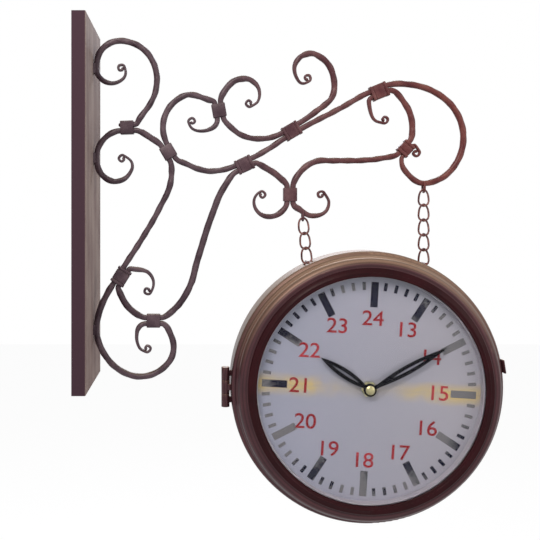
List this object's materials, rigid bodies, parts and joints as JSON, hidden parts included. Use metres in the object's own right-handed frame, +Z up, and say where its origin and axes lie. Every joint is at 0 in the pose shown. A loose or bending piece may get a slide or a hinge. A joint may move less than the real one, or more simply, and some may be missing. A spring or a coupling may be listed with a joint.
{
  "type": "double sided station clock",
  "caption": "Double sided station clock: a round steel case with a glazed dial on each side, hung by two curb chains from a wall bracket of twisted bar scrolls, with a case that opens on a side hinge.",
  "frame": {"origin": "centre of the back of the wall plate, on the wall", "axes": "+X points straight out from the wall, +Z is up, and the two dials face -Y (front) and +Y (rear)"},
  "size_m": [0.3754, 0.1, 0.4405],
  "materials": {
    "plate_paint": "satin",
    "bracket_paint": "satin",
    "chain_paint": "satin",
    "case_paint": "satin",
    "rim_enamel": "gloss",
    "clock_glass": "clear",
    "spacer_white": "satin",
    "dial_enamel": "satin",
    "spring_steel": "satin",
    "movement_plastic": "matte",
    "cell_jacket": "gloss",
    "plated_contact": "bright",
    "brass_bright": "polished",
    "hand_black": "satin",
    "wheel_plastic": "matte"
  },
  "bodies": {
    "bracket": {"wall_tray": "plate_paint", "wall_back_sheet": "plate_paint", "upper_scroll": "bracket_paint", "back_scroll": "bracket_paint", "brace_scroll": "bracket_paint", "top_boom": "bracket_paint", "lower_boom": "bracket_paint", "crest_scroll": "bracket_paint", "ridged_collars": "bracket_paint", "plain_collars": "bracket_paint", "plate_welds": "bracket_paint", "left_eye": "chain_paint", "right_eye": "chain_paint"},
    "head": {"left_chain": "chain_paint", "right_chain": "chain_paint", "chain_lugs": "chain_paint", "case_band": "case_paint", "rear_moulding": "case_paint", "case_knuckles": "case_paint", "hinge_pin": "spring_steel", "catch_clip": "case_paint", "catch_rivet": "case_paint", "rear_rim": "rim_enamel", "rear_glass": "clock_glass", "rear_spacer": "spacer_white", "rear_dial": "dial_enamel", "rear_snap_ring": "spring_steel", "rear_movement": "movement_plastic", "rear_battery": "cell_jacket", "rear_contacts": "plated_contact", "rear_bush": "brass_bright", "rear_washer": "spring_steel", "rear_nut": "brass_bright"},
    "cover": {"front_moulding": "case_paint", "cover_knuckle": "case_paint", "front_rim": "rim_enamel", "front_glass": "clock_glass", "front_spacer": "spacer_white", "front_dial": "dial_enamel", "front_snap_ring": "spring_steel", "front_movement": "movement_plastic", "front_battery": "cell_jacket", "front_contacts": "plated_contact", "front_bush": "brass_bright", "front_washer": "spring_steel", "front_nut": "brass_bright"},
    "front_hour": {"front_hour_hand": "hand_black"},
    "front_minute": {"front_minute_hand": "hand_black", "front_hand_cap": "brass_bright"},
    "front_setter": {"front_set_wheel": "wheel_plastic"},
    "rear_hour": {"rear_hour_hand": "hand_black"},
    "rear_minute": {"rear_minute_hand": "hand_black", "rear_hand_cap": "brass_bright"},
    "rear_setter": {"rear_set_wheel": "wheel_plastic"}
  },
  "joints": [
    {"name": "head_swing", "type": "hinge", "parent": "bracket", "child": "head", "pos_m": [0.1992, 0, -0.012], "axis": [0.9735, 0, 0.2285], "range_deg": [-15, 15]},
    {"name": "cover_hinge", "type": "hinge", "parent": "head", "child": "cover", "pos_m": [0.12959, -0.01, -0.16093], "axis": [0, 0, -1], "range_deg": [0, 110]},
    {"name": "front_minute_turn", "type": "hinge", "parent": "cover", "child": "front_minute", "pos_m": [0.25379, -0.025, -0.16093], "axis": [0, 1, 0], "continuous": true},
    {"name": "front_hour_turn", "type": "hinge", "parent": "cover", "child": "front_hour", "pos_m": [0.25379, -0.023, -0.16093], "axis": [0, 1, 0], "continuous": true},
    {"name": "front_setter_turn", "type": "hinge", "parent": "cover", "child": "front_setter", "pos_m": [0.25379, -0.002, -0.14693], "axis": [0, 1, 0], "continuous": true},
    {"name": "rear_minute_turn", "type": "hinge", "parent": "head", "child": "rear_minute", "pos_m": [0.25379, 0.025, -0.16093], "axis": [0, -1, 0], "continuous": true},
    {"name": "rear_hour_turn", "type": "hinge", "parent": "head", "child": "rear_hour", "pos_m": [0.25379, 0.023, -0.16093], "axis": [0, -1, 0], "continuous": true},
    {"name": "rear_setter_turn", "type": "hinge", "parent": "head", "child": "rear_setter", "pos_m": [0.25379, 0.002, -0.14693], "axis": [0, -1, 0], "continuous": true}
  ],
  "couplings": [
    {"joint": "front_hour_turn", "follows": "front_minute_turn", "ratio": 0.083333},
    {"joint": "front_setter_turn", "follows": "front_minute_turn", "ratio": -0.33333},
    {"joint": "rear_hour_turn", "follows": "rear_minute_turn", "ratio": 0.083333},
    {"joint": "rear_setter_turn", "follows": "rear_minute_turn", "ratio": -0.33333}
  ]
}
